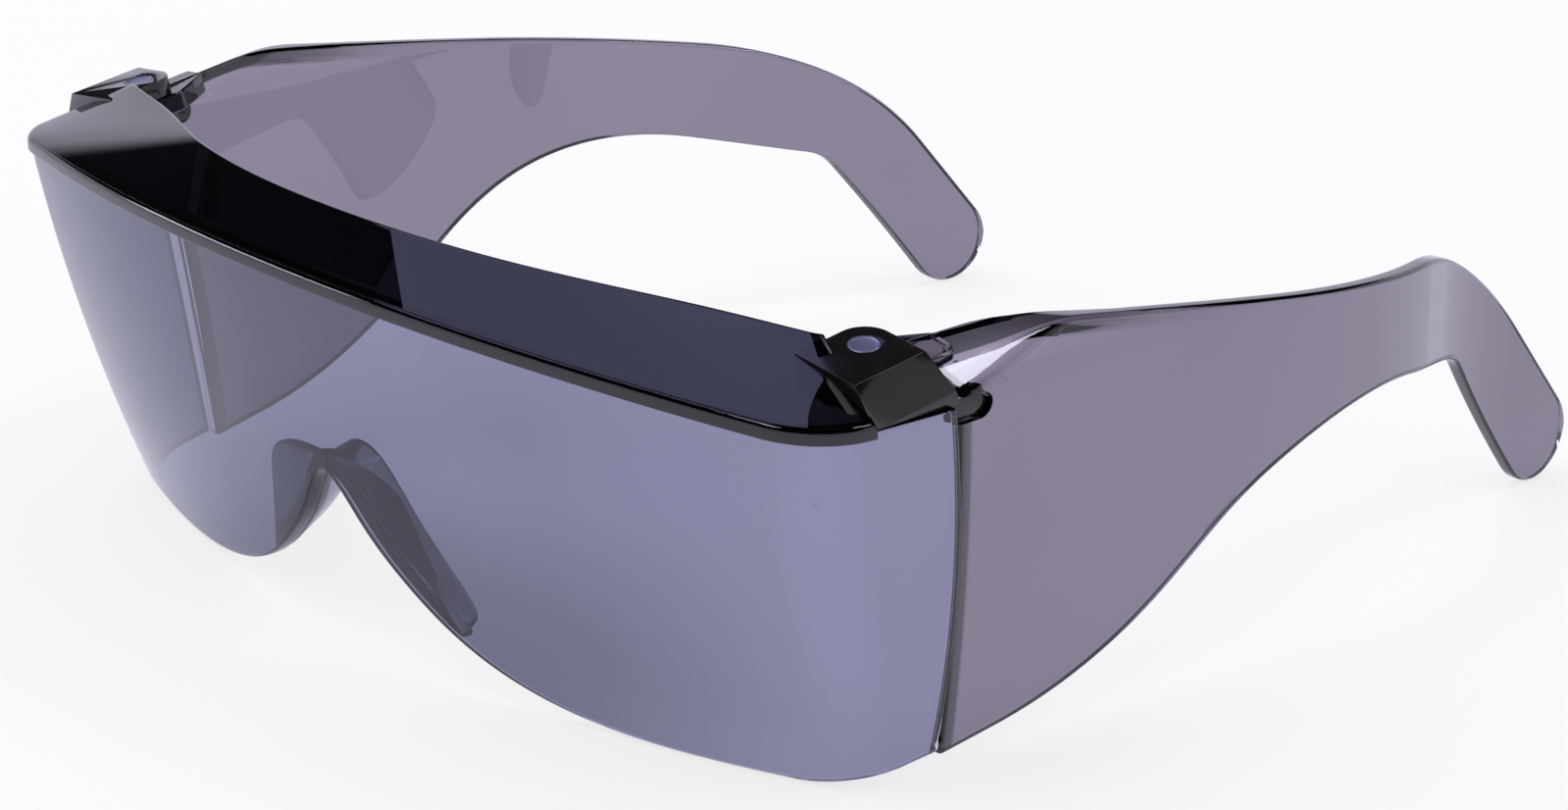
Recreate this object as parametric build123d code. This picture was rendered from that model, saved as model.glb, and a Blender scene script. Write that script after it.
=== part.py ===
from build123d import *
from math import asin, atan2, cos, degrees, hypot, radians, sin, sqrt, tan
import os

# Fitover sunglasses: a wrapped lens shield under a brow ledge, two hinge blocks,
# two pins and two deep temples. Millimetres, +Z up, +X the wearer's left, +Y towards the ears.
# While the pieces are made, y = 0 is the front wall of the hinge blocks, and z = 0 the table.

# Lens shield: plan values at its top and at its bottom
lens_height = 49.0
lens_wall = 2.2
lens_bulge = 1.24
lens_top_setback = 20.1
lens_top_lead = 10.2
top_half_width = 77.75
lens_side_taper = 6.85
top_front_radius = 240.0
low_front_radius = 174.0
top_corner_radius = 10.3
low_corner_radius = 11.4
top_side_angle = 87.3
low_side_angle = 85.4
lens_top_drop = 2.9
lens_level_shares = [-0.02, 0.17, 0.34, 0.5, 0.67, 0.84, 1.02]

# Lens shield: rear edge of the side returns, as seen from the side
return_depth = 12.4
return_bow = 3.5
return_rise = 2.0
return_slope_run = 13.5
return_bow_share = 0.47

# Nose opening in the lower edge of the lens
nose_height = 23.8
nose_half_span = 56.0
nose_curve_shares = [(0.0, 1.0), (0.0955, 0.769), (0.19, 0.525), (0.32, 0.29), (0.56, 0.075), (1.0, 0.0)]

# Nose piece: a flat rim behind the lens and a flared wing round the opening
rim_width = 4.2
rim_wall = 1.2
rim_half_span = 14.6
wing_wall = 1.4
wing_depth = 3.4
wing_flare = 1.9
wing_low = 8.6
wing_corner = 3.0

# Brow guard: a bead along the top of the lens and a ledge that slopes back from it
bead_height = 1.0
bead_proud = 0.35
ledge_wall = 1.8
ledge_depth = 12.6
ledge_rise = 6.4
ledge_fall = 9.1
ledge_station_shares = [
    (0.0, 0.0, 0.484),
    (0.25, -0.048, 0.54),
    (0.5, -0.08, 0.738),
    (0.75, -0.2, 0.99),
    (1.0, -0.43, 0.98),
    (1.4, -0.635, 0.905),
    (1.8, -0.78, 0.76),
    (2.2, -0.85, 0.4),
]

# Hinge: pin place and lean, seen from the wearer's left side
pin_inset = 8.45
pin_setback = 6.7
pin_rise = 3.45
pin_lean_out = 7.6
pin_lean_forward = 8.5
pin_head_radius = 1.9
pin_head_height = 0.9
pin_radius = 1.2
pin_length = 6.4
pin_running_clearance = 0.06

# Hinge block, measured from the pin in the plane across it
block_front = 6.8
block_inner = 3.7
block_top_outer = 5.75
block_low_outer = 8.9
block_bevel_height = 4.4
block_wall_inset = 4.0
block_rear_slope_share = 0.36
ear_height = 2.2
slot_height = 2.8
slot_clearance = 0.1
corner_round_share = 0.96

# Stop lug behind the lower rear corner of the block
lug_width = 2.0
lug_height = 2.4
lug_length = 5.4
lug_gap = 0.3
notch_clearance = 0.4
notch_depth_clearance = 0.9

# Temple: side outline
temple_gap = 1.0
temple_wall = 2.2
temple_rise = 3.5
tip_reach = 138.0
tip_radius = 6.3
temple_floor = 0.8
temple_front_drop = 1.3
temple_top_shares = [(0.188, 0.997), (0.868, 0.716)]
temple_top_radius = [50.0, 52.0]
temple_low_shares = [(0.846, 0.434), (0.55, 0.617), (0.285, 0.101)]
temple_low_radius = [8.0, 49.0, 63.0]

# Temple: plan of its outer face at mid height, and how far it leans out at the front, going up
temple_start_inset = 3.25
temple_widen = 0.5
temple_bend_half = 58.2
temple_end_half = 55.8
temple_plan_shares = [0.629, 0.871, 1.09]
temple_turn_shares = [0.53, 0.31]
temple_lean = 0.146
temple_slack = 10.0

# Temple: the facet that carries on the block's outer face, by three points of it
facet_top_inset = 2.05
facet_low_setback = 14.1
facet_low_depth = 2.3
facet_end_setback = 46.0
facet_end_depth = 1.2
facet_end_inset = 1.55

# Temple: the slope at the front of the arm's top, by three points of it
crown_inner_run = 4.6
crown_inner_drop = 0.8
crown_outer_run = 6.6
crown_outer_drop = 2.2
crown_outer_inset = 4.25
crown_rear_run = 17.6
crown_rear_drop = 1.7

# Temple: tapered arm that carries the knuckle
arm_gap = 0.4
arm_inner = 0.5
arm_outer_inset = 0.75
arm_taper = 1.6
arm_height = 6.2
arm_root = 7.0
arm_length = 34.0
arm_end_wall = 1.0
arm_bow = 0.5
arm_corner = 3.4
arm_end_share = 0.95
blade_reach = 6.0

overrun = 30.0
low_half_width = top_half_width - lens_side_taper
pin_half_spacing = top_half_width - pin_inset
pin_height = lens_height + pin_rise
temple_height = lens_height + temple_rise
temple_start_half = top_half_width - temple_start_inset


def lens_drop(x):
    """Fall of the lens top edge at x from its middle."""
    return lens_top_drop * (x / top_half_width) ** 2


def lens_values(share, outset=0):
    """Plan values of the lens's outer face at a share of its height, set out by a distance."""
    swell = outset + 4 * lens_bulge * share * (1 - share)

    def between(low, top):
        return low + (top - low) * share

    front = between(lens_top_lead - lens_top_setback, -lens_top_setback) - swell
    front_radius = between(low_front_radius, top_front_radius) + swell
    corner_radius = between(low_corner_radius, top_corner_radius) + swell
    half_width = between(low_half_width, top_half_width) + swell
    side_angle = between(low_side_angle, top_side_angle)
    return front, front_radius, corner_radius, half_width, side_angle


def corner_centre(values):
    """Centre of the corner arc, tangent to the front arc and to the side line."""
    front, front_radius, corner_radius, half_width, side_angle = values
    x = half_width - corner_radius * sin(radians(side_angle))
    y = front + front_radius - sqrt((front_radius - corner_radius) ** 2 - x**2)
    return x, y


def wrap_point(values, station):
    """Point of the plan and its heading: station 0 middle, 1 fold, 2 corner end, then the side line."""
    front, front_radius, corner_radius, half_width, side_angle = values
    x, y = corner_centre(values)
    fold_angle = degrees(asin(x / (front_radius - corner_radius)))
    if station <= 1:
        angle = fold_angle * station
        return front_radius * sin(radians(angle)), front + front_radius * (1 - cos(radians(angle)))
    angle = fold_angle + (side_angle - fold_angle) * min(station - 1, 1)
    x += corner_radius * sin(radians(angle))
    y -= corner_radius * cos(radians(angle))
    along = return_depth * max(station - 2, 0)
    return x + along * cos(radians(side_angle)), y + along * sin(radians(side_angle))


def wrap_path(values):
    """The plan from the right side line round the front to the left side line, as edges."""
    side_station = 2 + (return_depth + return_bow + overrun / 2) / return_depth
    right = [wrap_point(values, station) for station in (0.5, 1, 1.5, 2, side_station)]
    left = [(-x, y) for x, y in right]
    front = wrap_point(values, 0)
    return [
        Line(left[4], left[3]),
        ThreePointArc(left[3], left[2], left[1]),
        ThreePointArc(left[1], front, right[1]),
        ThreePointArc(right[1], right[2], right[3]),
        Line(right[3], right[4]),
    ]


def wrap_band(share, outset, wall):
    """Level face between the outer plan, set out by a distance, and the plan one wall inside it."""
    outer = wrap_path(lens_values(share, outset))
    inner = wrap_path(lens_values(share, outset - wall))
    ends = [Line(outer[0] @ 0, inner[0] @ 0), Line(outer[4] @ 1, inner[4] @ 1)]
    return Pos(0, 0, lens_height * share) * make_face([*outer, *inner, *ends])


def wrap_shell(outset, wall):
    """Curved wall that follows the lens, a little taller than the lens."""
    return loft([wrap_band(share, outset, wall) for share in lens_level_shares], ruled=True)


def front_prism(face):
    """A face drawn in x and z, carried through the whole depth."""
    return extrude(Plane.XZ * face, amount=tip_reach, both=True)


def side_prism(face):
    """A face drawn in y and z, carried through the whole width."""
    return extrude(Plane.YZ * face, amount=top_half_width + overrun, both=True)


def nose_curve(grow):
    """Edge of the nose opening, set out from the opening by a distance."""
    right = [(nose_half_span * x, nose_height * z) for x, z in nose_curve_shares]
    points = [(-x, z) for x, z in right[:0:-1]] + right
    moved = [(points[0][0], points[0][1] + grow)]
    for before, here, after in zip(points, points[1:], points[2:]):
        across, up = after[0] - before[0], after[1] - before[1]
        length = hypot(across, up)
        moved.append((here[0] - grow * up / length, here[1] + grow * across / length))
    moved.append((points[-1][0], points[-1][1] + grow))
    return Spline(moved, tangents=[(1, 0), (1, 0)])


def below_nose_curve(grow):
    """Face under the nose curve, down past the table."""
    curve = nose_curve(grow)
    start, end = curve @ 0, curve @ 1
    low = -overrun
    sides = Polyline((start.X, start.Y), (start.X, low), (end.X, low), (end.X, end.Y))
    return make_face([curve, *sides.edges()])


def above_lens_top(rise):
    """Face over the top edge of the lens, lifted by a distance."""
    wide = top_half_width + overrun
    top = lens_height + overrun
    middle = lens_height + rise
    end = middle - lens_drop(wide)
    crown = ThreePointArc((-wide, end), (0, middle), (wide, end))
    sides = Polyline(crown @ 0, (-wide, top), (wide, top), crown @ 1)
    return make_face([crown, *sides.edges()])


def return_edge(gap, low):
    """Rear edge of the lens's side return from a low point up, moved back by a gap."""
    low_y = return_depth + return_bow + gap
    middle = (low_y - return_bow * return_bow_share**2, lens_height * return_bow_share)
    return ThreePointArc((low_y, low), middle, (return_depth + gap, lens_height - lens_top_drop))


def make_lens():
    """The wrapped wall, cut by its side view, its top edge and the nose curve."""
    edge = return_edge(0, return_rise)
    front = -lens_top_setback - overrun
    top = lens_height + overrun
    outline = Polyline(
        edge @ 1,
        (return_depth, top),
        (front, top),
        (front, -overrun),
        (return_depth + return_bow - return_slope_run * (1 + overrun / return_rise), -overrun),
        edge @ 0,
    )
    side = make_face([edge, *outline.edges()])
    lens = wrap_shell(0, lens_wall) & side_prism(side)
    return lens - front_prism(above_lens_top(0)) - front_prism(below_nose_curve(0)) - floor_block(0)


def floor_block(level):
    """Everything under a level, wider than the frame."""
    size = 4 * tip_reach
    return Pos(0, 0, level - size / 2) * Box(size, size, size)


def ledge_section(station, side_share, depth_share, side):
    """Closed profile of bead and ledge at one station, standing square on the table."""
    x, y = wrap_point(lens_values(1), station)
    x, y = wrap_point(lens_values(1 - lens_drop(x) / lens_height), station)
    lip = Vector(x, y, lens_height - lens_drop(x))
    rear_x, rear_y = x + side_share * ledge_depth, y + depth_share * ledge_depth
    middle_y = -lens_top_setback + ledge_station_shares[0][2] * ledge_depth
    fall = tan(radians(ledge_fall)) * (rear_y - middle_y)
    rear = Vector(rear_x, rear_y, lens_height + bead_height + ledge_rise - fall)
    inward = Vector(rear_x - x, rear_y - y, 0).normalized()
    up = Vector(0, 0, 1)
    start = lip + up * bead_height
    run = (rear - start).normalized()
    under = (inward * run.dot(up) - up * run.dot(inward)) * ledge_wall
    knee = start + under
    knee += run * ((lens_wall - (knee - lip).dot(inward)) / run.dot(inward))
    points = [
        lip - inward * bead_proud - up * bead_height,
        start - inward * bead_proud,
        start + inward * bead_proud / 2,
        rear,
        rear + under,
        knee,
        lip + inward * lens_wall - up * bead_height,
    ]
    return make_face(Polyline([(side * p.X, p.Y, p.Z) for p in points], close=True).edges())


def make_brow():
    """Bead and ledge in one, ending at the front and inner walls of both blocks."""
    fold = [shares[0] for shares in ledge_station_shares].index(1.0)
    front_shares = ledge_station_shares[: fold + 1]
    corner_shares = ledge_station_shares[fold:]
    left = [ledge_section(*shares, -1) for shares in front_shares[:0:-1]]
    brow = loft(left + [ledge_section(*shares, 1) for shares in front_shares])
    corner = loft([ledge_section(*shares, 1) for shares in corner_shares])
    brow = (brow + corner + mirror(corner, Plane.YZ)) & front_prism(above_lens_top(0))
    reach = temple_height
    zone = Pos(reach / 2 - block_inner, reach / 2 - block_front) * Rectangle(reach, reach)
    zone = hinge_plane() * extrude(zone, amount=reach, both=True)
    return brow - zone - mirror(zone, Plane.YZ)


def make_nose():
    """Rim and wing round the opening, cut to follow the back of the lens."""
    low = Pos(0, wing_low - overrun) * Rectangle(4 * rim_half_span, 2 * overrun)
    flank = Rectangle(2 * rim_half_span, 4 * nose_height)
    rim_face = below_nose_curve(rim_width) - below_nose_curve(0)
    rim = wrap_shell(-lens_wall, rim_wall) & front_prism((rim_face & flank) - low)
    front_y = -lens_top_setback
    rear_y = lens_values(nose_height / lens_height / 2)[0] + lens_wall + wing_depth
    start = wing_flare * (1 - (rear_y - front_y) / wing_depth)
    rings = []
    for y, grow in ((front_y, start), (rear_y, wing_flare)):
        ring = below_nose_curve(grow + wing_wall) - below_nose_curve(grow)
        rings.append(Pos(0, y, 0) * (Plane.XZ * ring))
    wing = loft(rings) & front_prism(flank - low)
    wing -= wrap_shell(overrun, overrun + lens_wall + rim_wall / 2)
    corner = (rear_y - wing_corner, wing_low)
    edge = FilletPolyline(
        (corner[0] - wing_depth, wing_low),
        corner,
        (rear_y, wing_low + wing_corner),
        (rear_y - wing_depth, nose_height + rim_width),
        radius=wing_corner,
    )
    ends = Polyline(edge @ 0, (-overrun, wing_low), (-overrun, overrun), ((edge @ 1).X, overrun), edge @ 1)
    wing &= side_prism(make_face([*edge.edges(), *ends.edges()]))
    return rim + wing


def hinge_plane():
    """Plane across the left pin at its head: x outwards, y back, z along the pin."""
    axis = Vector(tan(radians(pin_lean_out)), -tan(radians(pin_lean_forward)), 1).normalized()
    return Plane(origin=(pin_half_spacing, pin_setback, pin_height), x_dir=(1, 0, 0), z_dir=axis)


def pin_shape(clearance):
    """Shank and flush head of the pin, grown by a clearance on its radius."""
    shank = Cylinder(pin_radius + clearance, pin_length, align=(Align.CENTER, Align.CENTER, Align.MAX))
    head = Cylinder(pin_head_radius + clearance, pin_head_height, align=(Align.CENTER, Align.CENTER, Align.MAX))
    return shank + head


def wall_room(gap, depth):
    """Everything in front of the block's sloping rear face, moved back by a gap, down to a depth."""
    reach = temple_height
    face = make_face(Polyline(
        (block_inner + gap + block_rear_slope_share * depth, -depth),
        (-reach, -depth),
        (-reach, reach),
        (block_inner + gap - block_rear_slope_share * reach, reach),
        close=True,
    ).edges())
    return extrude(Plane.YZ * face, amount=reach, both=True)


def make_block():
    """Left hinge block: two ears about the slot, an outer wall and the stop lug."""
    floor = lens_height - lens_drop(top_half_width)
    deep = 2 * temple_height
    profile = make_face(Polyline(
        (-block_inner, 0), (block_top_outer, 0), (block_low_outer, -block_bevel_height),
        (block_low_outer, -deep), (-block_inner, -deep), close=True).edges())
    body = extrude(Plane.XZ * profile, amount=deep, both=True)
    ears = Rectangle(block_low_outer + block_inner, block_inner + block_front)
    ears = Pos((block_low_outer - block_inner) / 2, (block_inner - block_front) / 2) * ears
    rounded = ears.vertices().sort_by(Axis.X)[:2].sort_by(Axis.Y)[-1]
    ears = fillet(rounded, block_inner * corner_round_share)
    wall_width = block_low_outer - block_wall_inset
    wall_length = 2 * block_front + block_inner
    wall = Rectangle(wall_width, wall_length)
    wall = Pos(block_wall_inset + wall_width / 2, wall_length / 2 - block_front) * wall
    plan = extrude(ears, amount=deep, both=True)
    plan += extrude(wall, amount=deep, both=True) & wall_room(0, block_front)
    body &= plan
    slot_reach = 2 * block_low_outer
    slot = Rectangle(slot_reach, slot_reach)
    slot = Pos(block_wall_inset - slot_reach / 2, slot_reach / 2 - block_wall_inset) * slot
    turn = slot.vertices().sort_by(Axis.X)[-2:].sort_by(Axis.Y)[0]
    slot = fillet(turn, block_wall_inset * corner_round_share)
    body -= Pos(0, 0, -ear_height) * extrude(slot, amount=-slot_height)
    body -= pin_shape(0)
    return hinge_plane() * body - floor_block(floor)


def make_lug():
    """Round-ended bar that carries on behind the block's lower rear corner."""
    radius = lug_height / 2
    top = lens_height - lens_top_drop + lug_gap / 2
    start = return_depth + lug_gap
    end = start + lug_length - radius
    middle = top - radius
    high = top + lug_height / 3
    bar = Pos((start + end) / 2, middle) * Rectangle(end - start, lug_height)
    bar += Pos(end, middle) * Circle(radius)
    web = make_face(Polyline(
        (start, middle), (start, high), (start + lug_gap, high), (start + radius, middle), close=True,
    ).edges())
    return bar + web


def lug_solid(face, width):
    """The lug's side view, carried across a width about the middle of the lens's wall."""
    middle = top_half_width - lens_wall
    return Pos(middle, 0, 0) * extrude(Plane.YZ * face, amount=width / 2, both=True)


def parallel(points, distance):
    """Corner points of a line path moved to its left by a distance."""
    moved = []
    for index, (x, y) in enumerate(points):
        normals = []
        for first, second in zip(points[max(index - 1, 0):index + 1], points[max(index, 1):index + 2]):
            dx, dy = second[0] - first[0], second[1] - first[1]
            normals.append((-dy / hypot(dx, dy), dx / hypot(dx, dy)))
        nx = sum(n[0] for n in normals) / len(normals)
        ny = sum(n[1] for n in normals) / len(normals)
        scale = distance / (nx**2 + ny**2)
        moved.append((x + nx * scale, y + ny * scale))
    return moved


def turn_radius(before, corner, after, run):
    """Radius of the arc that starts a run before a corner and ends the same run after it."""
    into = atan2(corner[1] - before[1], corner[0] - before[0])
    out = atan2(after[1] - corner[1], after[0] - corner[0])
    return run / tan(abs(out - into) / 2)


def temple_band(level, wall):
    """Level face of the temple's wall at a height."""
    rise = level - lens_height / 2
    widest, bend, end = (tip_reach * share for share in temple_plan_shares)
    points = [
        (temple_start_half + rise * temple_lean, return_depth),
        (temple_start_half + temple_widen, widest),
        (temple_bend_half, bend),
        (temple_end_half, end),
    ]
    slant = hypot(points[2][0] - points[1][0], points[2][1] - points[1][1])
    radii = [
        turn_radius(*points[index : index + 3], share * slant)
        for index, share in enumerate(temple_turn_shares)
    ]
    outer = FilletPolyline(points, radius=radii)
    inner = FilletPolyline(parallel(points, wall), radius=[radii[0] - wall, radii[1] + wall])
    ends = [Line(outer @ 0, inner @ 0), Line(outer @ 1, inner @ 1)]
    return Pos(0, 0, level) * make_face([*outer.edges(), *inner.edges(), *ends])


def tangent_point(point, centre, radius, side):
    """Where a line from a point touches a circle, on its left (1) or its right (-1)."""
    dx, dy = centre[0] - point[0], centre[1] - point[1]
    length = hypot(dx, dy)
    share = radius / length
    along, across = -share * radius, side * radius * sqrt(1 - share**2)
    return (centre[0] + (dx * along - dy * across) / length, centre[1] + (dy * along + dx * across) / length)


def temple_outline():
    """Side view of the temple: front edge, top, round tip and the scooped lower edge."""
    upper = [(tip_reach * y, temple_height * z) for y, z in temple_top_shares]
    lower = [(tip_reach * y, temple_height * z) for y, z in temple_low_shares]
    centre = (tip_reach, tip_radius)
    rear_top = tangent_point(upper[-1], centre, tip_radius, 1)
    rear_low = tangent_point(lower[0], centre, tip_radius, -1)
    steep = hypot(rear_top[0] - rear_low[0], rear_top[1] - rear_low[1])
    tip = (centre[0] + tip_radius * (rear_top[1] - rear_low[1]) / steep,
           centre[1] - tip_radius * (rear_top[0] - rear_low[0]) / steep)
    front = return_edge(temple_gap, temple_floor)
    front_top = ((front @ 1).X - temple_gap, temple_height - temple_front_drop)
    top = FilletPolyline([front_top, *upper, rear_top], radius=temple_top_radius)
    low = FilletPolyline([rear_low, *lower, front @ 0], radius=temple_low_radius)
    edges = [Line(front @ 1, top @ 0), *top.edges(), ThreePointArc(rear_top, tip, rear_low), *low.edges(), front]
    return make_face(edges)


def outside(first, second, third):
    """Everything on the outer side of the plane through three points."""
    outwards = (second - first).cross(third - first).normalized()
    if outwards.X < 0:
        outwards = -outwards
    reach = 2 * tip_reach
    return Plane(origin=first, z_dir=outwards) * (Pos(0, 0, reach / 2) * Box(reach, reach, reach))


def facet_room():
    """Everything outside the plane of the facet."""
    low_z = lens_height - facet_low_depth
    top = Vector(top_half_width - facet_top_inset, block_front + block_inner, temple_height)
    low = Vector(temple_start_half + (low_z - lens_height / 2) * temple_lean, facet_low_setback, low_z)
    end = Vector(top_half_width - facet_end_inset, facet_end_setback, lens_height - facet_end_depth)
    return outside(low, end, top)


def crown_room():
    """Everything over the slope at the front of the arm's top."""
    front_y = pin_setback + block_inner
    inner = Vector(pin_half_spacing + arm_inner, front_y + crown_inner_run, temple_height - crown_inner_drop)
    outer = Vector(top_half_width - crown_outer_inset, front_y + crown_outer_run, temple_height - crown_outer_drop)
    rear = Vector(top_half_width - facet_top_inset, front_y + crown_rear_run, temple_height - crown_rear_drop)
    return outside(inner, outer, rear)


def make_arm(outline):
    """Tapered arm along the top of the temple, thickest where the tongue leaves it."""
    front_y = pin_setback + block_inner
    root_y = front_y + arm_root
    end_y = root_y + arm_length
    outer_x = top_half_width - arm_outer_inset
    end_x = outer_x - arm_taper
    inner_x = pin_half_spacing + arm_inner
    end_inner_x = end_x - arm_end_wall
    middle = ((inner_x + end_inner_x) / 2 + arm_bow, (root_y + end_y) / 2)
    corner = FilletPolyline(
        (inner_x, root_y), (inner_x, front_y), (outer_x, front_y), radius=arm_corner
    )
    sides = Polyline((outer_x, front_y), (end_x, end_y), (end_inner_x, end_y))
    inner = ThreePointArc((end_inner_x, end_y), middle, (inner_x, root_y))
    plan = make_face([*corner.edges(), *sides.edges(), inner])
    arm_low = temple_height - arm_height
    side = make_face(Polyline(
        (0, arm_low), (root_y, arm_low), (end_y, temple_height * arm_end_share),
        (end_y, 2 * temple_height), (0, 2 * temple_height), close=True,
    ).edges())
    return extrude(plan, amount=2 * temple_height) & side_prism(side) & side_prism(outline)


def make_tongue():
    """Knuckle round the pin and the tongue that runs back from it into the arm."""
    radius = block_inner
    reach = block_inner + blade_reach
    blade = make_face(Polyline(
        (-radius, 0), (-radius, radius), (arm_inner, reach), (radius, reach), (radius, 0), close=True,
    ).edges())
    face = blade + Circle(radius) - Circle(pin_radius + pin_running_clearance)
    height = slot_height - 2 * slot_clearance
    return hinge_plane() * (Pos(0, 0, -ear_height - slot_clearance) * extrude(face, amount=-height))


def make_temple():
    """Left temple: wall, arm and knuckle, with room for the block and its lug."""
    outline = temple_outline()
    levels = (-temple_slack, temple_height + temple_slack)
    wall = loft([temple_band(level, temple_wall) for level in levels], ruled=True)
    temple = wall & side_prism(outline)
    temple += make_arm(outline)
    temple -= facet_room() + crown_room()
    temple -= hinge_plane() * wall_room(arm_gap, arm_height)
    notch = offset(make_lug(), amount=notch_clearance)
    notch += Pos(0, -notch_depth_clearance / 2) * notch
    temple -= lug_solid(notch, top_half_width)
    return temple + make_tongue()


def place(shape):
    """Moves a piece so that y = 0 is halfway between the front of the bead and the tips."""
    front = -lens_top_setback - bead_proud
    rear = tip_reach + tip_radius
    return Pos(0, -(front + rear) / 2, 0) * shape


if __name__ == "__main__":
    os.makedirs("parts", exist_ok=True)
    block = make_block() + lug_solid(make_lug(), lug_width)
    pin = hinge_plane() * pin_shape(0)
    temple = make_temple()
    lens = make_lens() - block - mirror(block, Plane.YZ)
    pieces = {"lens_shield": lens, "brow_guard": make_brow(), "nose_piece": make_nose()}
    for name, shape in (("hinge_block", block), ("hinge_pin", pin), ("temple", temple)):
        pieces[name + "_left"] = shape
        pieces[name + "_right"] = mirror(shape, Plane.YZ)
    for name, shape in pieces.items():
        export_step(place(shape), f"parts/{name}.step")
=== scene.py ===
# %% [markdown]
# Fitover sunglasses in Blender. A pair of fitovers is worn over other glasses. This one has a single
# tinted lens that wraps round to both sides, a dark ledge along its top, and two deep see-through temples
# that fold about leaning pins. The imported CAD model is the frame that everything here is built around. It
# is in metres, and it says where each piece is and how it moves.

# %% Load the frame
from math import cos, pi, radians, sin, sqrt, tan

import bmesh
import bpy
import numpy as np
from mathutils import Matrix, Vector


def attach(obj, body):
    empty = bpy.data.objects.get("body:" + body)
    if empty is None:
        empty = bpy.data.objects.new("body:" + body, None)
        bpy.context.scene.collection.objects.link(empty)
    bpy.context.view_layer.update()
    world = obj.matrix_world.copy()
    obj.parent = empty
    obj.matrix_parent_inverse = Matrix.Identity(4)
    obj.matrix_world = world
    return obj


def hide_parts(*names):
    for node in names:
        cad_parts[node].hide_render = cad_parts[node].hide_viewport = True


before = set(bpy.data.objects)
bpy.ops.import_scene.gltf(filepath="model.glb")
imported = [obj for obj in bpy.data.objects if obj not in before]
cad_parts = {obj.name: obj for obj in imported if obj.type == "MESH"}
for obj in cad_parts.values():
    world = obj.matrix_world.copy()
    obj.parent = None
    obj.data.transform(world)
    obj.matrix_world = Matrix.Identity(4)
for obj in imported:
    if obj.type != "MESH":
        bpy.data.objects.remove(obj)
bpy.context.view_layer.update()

mm = 0.001

# %% [markdown]
# The camera comes first. The sunglasses stand on the table with the lens to the lower left, so the camera
# is in front of the wearer's left side and a little above. A long focal length keeps the two sides nearly
# parallel. Blender's camera looks along its own -Z axis, so it is turned to look along the line of sight.

# %% The camera
# The camera was solved from points of the photo that mirror each other on the two sides
view_azimuth = radians(48.39)
view_elevation = radians(19.91)
camera_place = Vector((0.4238, -0.3817, 0.2199))
away = Vector((
    sin(view_azimuth) * cos(view_elevation),
    -cos(view_azimuth) * cos(view_elevation),
    sin(view_elevation),
))
camera_data = bpy.data.cameras.new("camera")
camera_data.lens = 108.0
camera_data.sensor_width = 36.0
camera_data.clip_start = 0.01
camera = bpy.data.objects.new("camera", camera_data)
camera.location = camera_place
camera.rotation_mode = "QUATERNION"
camera.rotation_quaternion = (-away).to_track_quat("-Z", "Y")
bpy.context.scene.collection.objects.link(camera)
bpy.context.scene.camera = camera
bpy.context.scene.view_settings.view_transform = "Standard"
print("camera at", tuple(round(v, 3) for v in camera_place))

# %% [markdown]
# A node tree is easier to read when one small function adds each node with its settings and its links. A
# colour is written as the hex value that a screen shows, and one function turns it into the linear value
# Blender wants.

# %% Helpers for nodes and colours


def linear(hex_colour):
    """Screen colour to linear: each channel, as a share, to the power 2.4 after the usual offset."""
    shares = [int(hex_colour[i:i + 2], 16) / 255 for i in (1, 3, 5)]
    return tuple(s / 12.92 if s <= 0.04045 else ((s + 0.055) / 1.055) ** 2.4 for s in shares) + (1.0,)


def add_node(tree, kind, settings=None, **inputs):
    """Adds a node. Settings are its own properties, inputs its sockets: a value, or a socket to link."""
    node = tree.nodes.new(kind)
    for name, value in (settings or {}).items():
        setattr(node, name, value)
    for name, value in inputs.items():
        key = int(name[1:]) if name[0] == "i" and name[1:].isdigit() else name.replace("_", " ")
        if isinstance(value, bpy.types.NodeSocket):
            tree.links.new(value, node.inputs[key])
        else:
            node.inputs[key].default_value = value
    return node


def cooled_white(tree, light_path):
    """White, and a little lavender for mirrored rays, as the highlights are in the photo."""
    mix = add_node(tree, "ShaderNodeMix", {"data_type": "RGBA"}, i0=light_path.outputs["Is Glossy Ray"],
                   i6=linear("#ffffff"), i7=linear("#ecebff"))
    return mix.outputs[2]


print("white is", linear("#ffffff")[0])

# %% [markdown]
# Clear plastic looks like what is around it. The photograph looks as if it was taken on a white sweep
# under a dark ceiling, with soft boxes. So the world is white where the camera sees it. For rays that the
# plastic mirrors or bends it is white near the horizon and dark overhead, which makes the ledge black and
# gives every edge a dark line. What is mirrored is a little lavender, as in the photo.

# %% The world
room_light = 0.55
ceiling_light = 0.02
# Heights of a direction, where 0 is the horizon and 1 is overhead
white_up_to = 0.26
dark_from = 0.32

world = bpy.data.worlds.new("studio")
world.use_nodes = True
world_tree = world.node_tree
world_tree.nodes.clear()
ray = add_node(world_tree, "ShaderNodeLightPath")
direction = add_node(world_tree, "ShaderNodeTexCoord")
height = add_node(world_tree, "ShaderNodeSeparateXYZ", None, Vector=direction.outputs["Generated"])
smooth = {"interpolation_type": "SMOOTHSTEP"}
ceiling = add_node(world_tree, "ShaderNodeMapRange", smooth, Value=height.outputs["Z"],
                   From_Min=white_up_to, From_Max=dark_from, To_Min=1.0, To_Max=ceiling_light)
bent = add_node(world_tree, "ShaderNodeMath", {"operation": "ADD", "use_clamp": True},
                i0=ray.outputs["Is Glossy Ray"], i1=ray.outputs["Is Transmission Ray"])
room = add_node(world_tree, "ShaderNodeMix", {"data_type": "FLOAT"}, Factor=bent.outputs[0],
                A=room_light, B=ceiling.outputs["Result"])
level = add_node(world_tree, "ShaderNodeMix", {"data_type": "FLOAT"}, Factor=ray.outputs["Is Camera Ray"],
                 A=room.outputs["Result"], B=1.0)
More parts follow.
